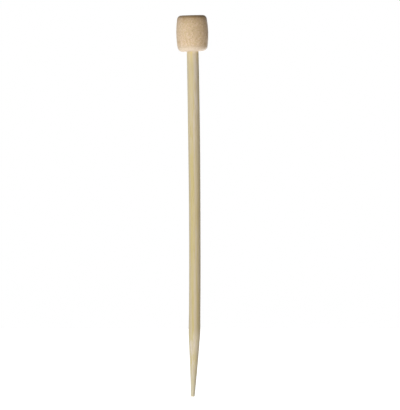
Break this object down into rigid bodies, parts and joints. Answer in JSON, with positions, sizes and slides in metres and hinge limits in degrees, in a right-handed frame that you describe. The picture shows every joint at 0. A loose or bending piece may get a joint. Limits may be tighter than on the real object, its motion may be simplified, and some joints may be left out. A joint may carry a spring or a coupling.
{
  "type": "straight knitting needle",
  "caption": "Single-pointed straight knitting needle: slim round bamboo shaft with a long tapered point, glued into a barrel-shaped turned wooden end knob.",
  "frame": {"origin": "on the shaft's axis where the shaft meets the underside of the end knob", "axes": "+Z along the needle's axis from the point towards the knob, so the needle is upright with its point down; X and Y are any two directions square to it, because every piece is round about Z"},
  "size_m": [0.0192, 0.0192, 0.23],
  "materials": {
    "bamboo": "finely sanded bamboo, waxed, with straight fibre bundles along its length",
    "knob_wood": "turned pale close-grained hardwood, sanded, with a thin satin wax",
    "wood_glue": "dried wood glue, translucent amber-cream"
  },
  "bodies": {
    "root": {"shaft": "bamboo", "end_knob": "knob_wood", "glue_film": "wood_glue"}
  },
  "joints": []
}
